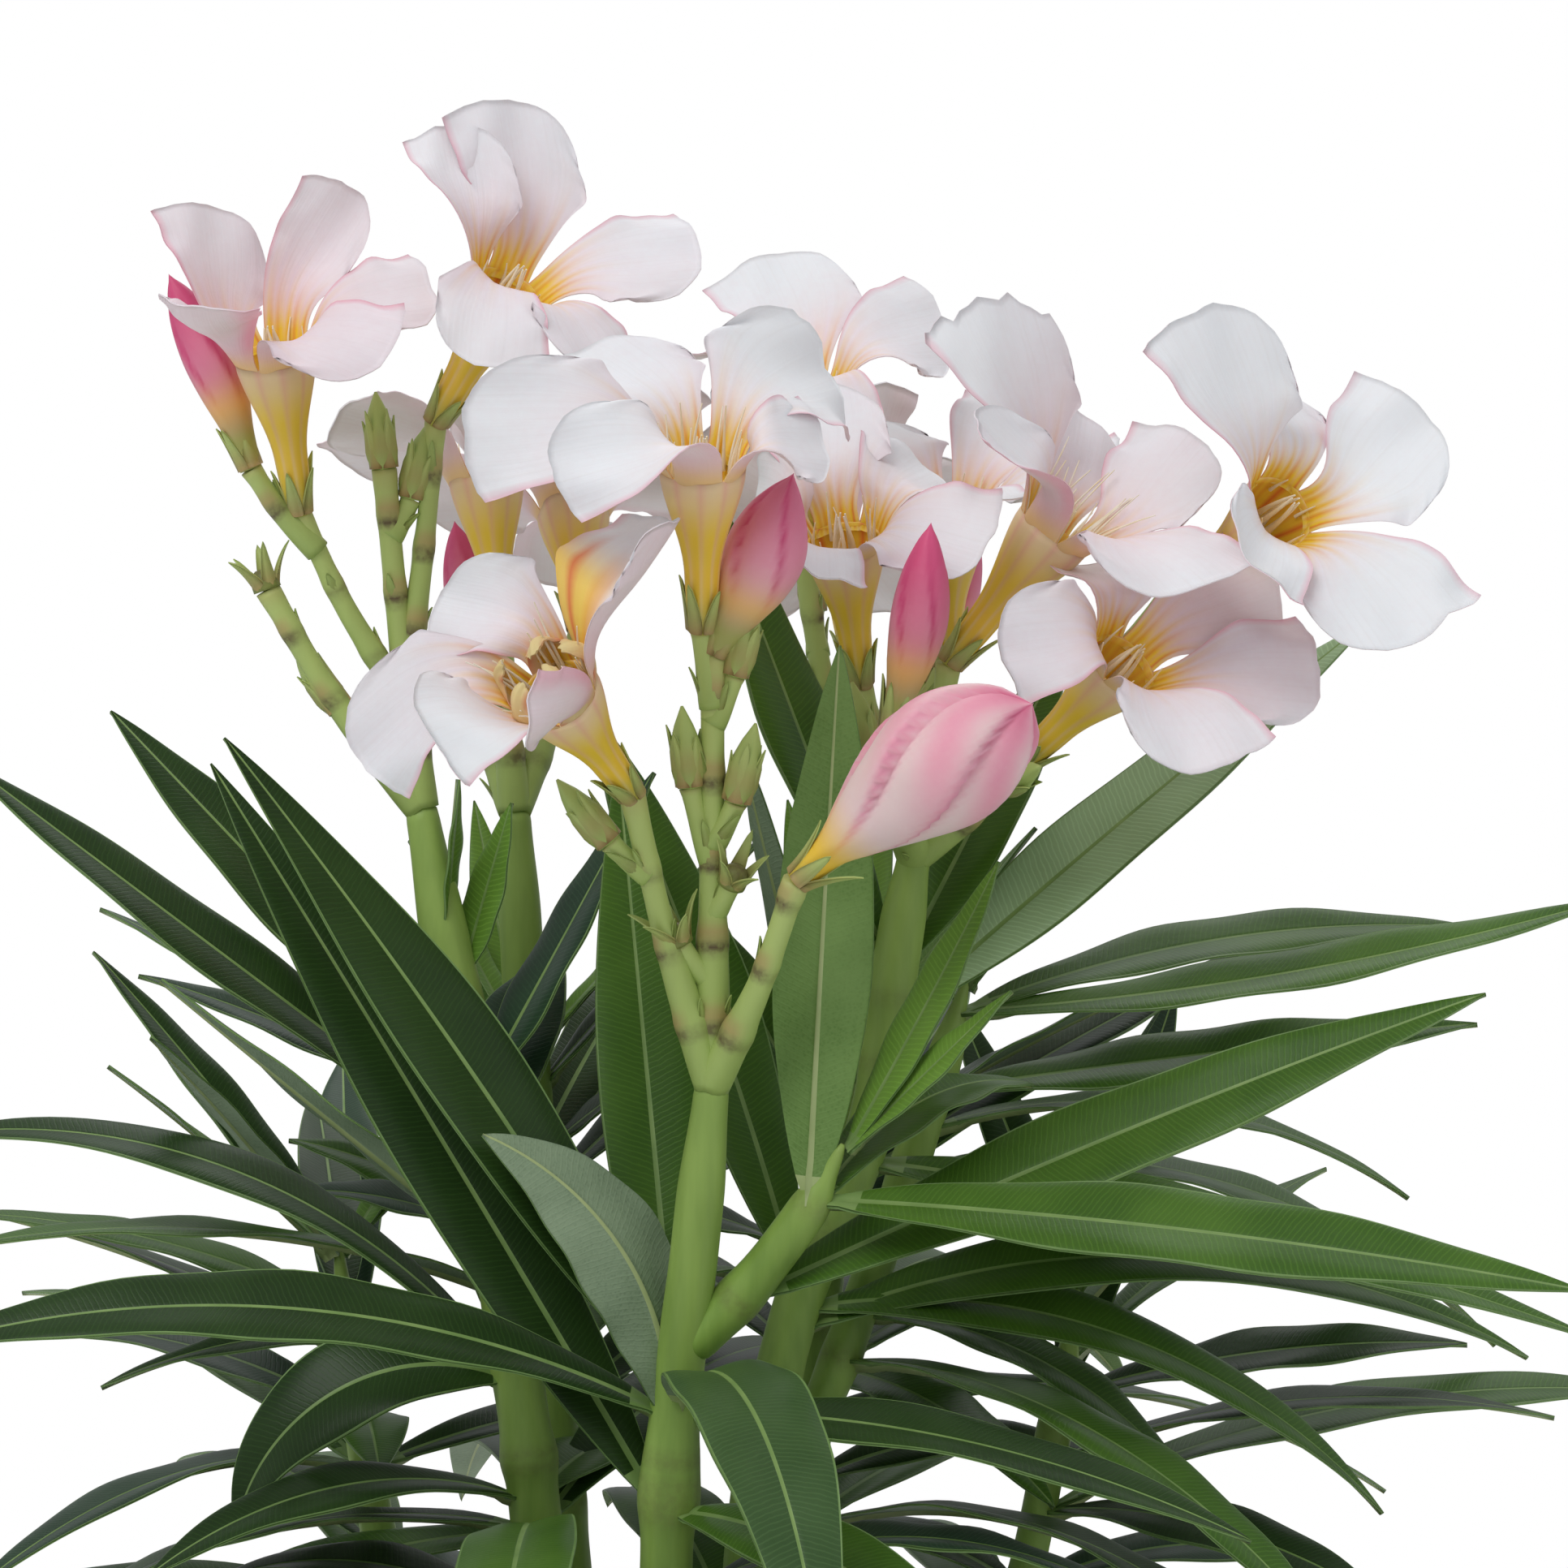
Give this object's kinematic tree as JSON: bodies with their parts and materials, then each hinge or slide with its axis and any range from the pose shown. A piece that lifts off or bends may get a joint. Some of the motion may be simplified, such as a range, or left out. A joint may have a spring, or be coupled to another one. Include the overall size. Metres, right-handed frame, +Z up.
{
  "type": "potted flowering shrub",
  "caption": "Bushy oleander shrub in a plain round clay pot: upright stems, whorls of long narrow leaves and heads of pale pink-tinged flowers at the shoot tips.",
  "frame": {"origin": "centre of the pot's flat underside, which stands on the floor", "axes": "+Z up, +X to the right and -Y to the front, where the plant's tall left head, its front head and its right head show side by side"},
  "size_m": [0.3461, 0.336, 0.5975],
  "materials": {
    "pot": "matt unglazed clay",
    "soil": "rough, matt",
    "bark": "smooth grey-green young bark with small raised marks",
    "foliage": "leathery, satin",
    "blossom": "soft, matt petals"
  },
  "bodies": {
    "root": {"pot": "pot", "soil": "soil", "bough_back_left": "bark", "bough_back_left_low": "bark", "bough_back_right": "bark", "bough_back_right_low": "bark", "bough_front": "bark", "bough_front_lowest": "bark", "bough_left": "bark", "bough_left_low": "bark", "bough_left_lowest": "bark", "bough_right": "bark", "bough_right_low": "bark", "bough_right_lowest": "bark", "stem_back_left": "bark", "stem_back_right": "bark", "stem_front": "bark", "stem_left": "bark", "back_left_low_shoot": "foliage", "back_left_shoot": "foliage", "back_right_low_shoot": "foliage", "back_right_shoot": "foliage", "front_lowest_shoot": "foliage", "front_shoot": "foliage", "front_side_shoot": "foliage", "left_low_shoot": "foliage", "left_lowest_shoot": "foliage", "left_shoot": "foliage", "right_low_shoot": "foliage", "right_lowest_shoot": "foliage", "right_shoot": "foliage", "right_side_shoot": "foliage", "back_left_flowers": "blossom", "back_right_flowers": "blossom", "front_flowers": "blossom", "left_flowers": "blossom", "right_flowers": "blossom"}
  },
  "joints": []
}
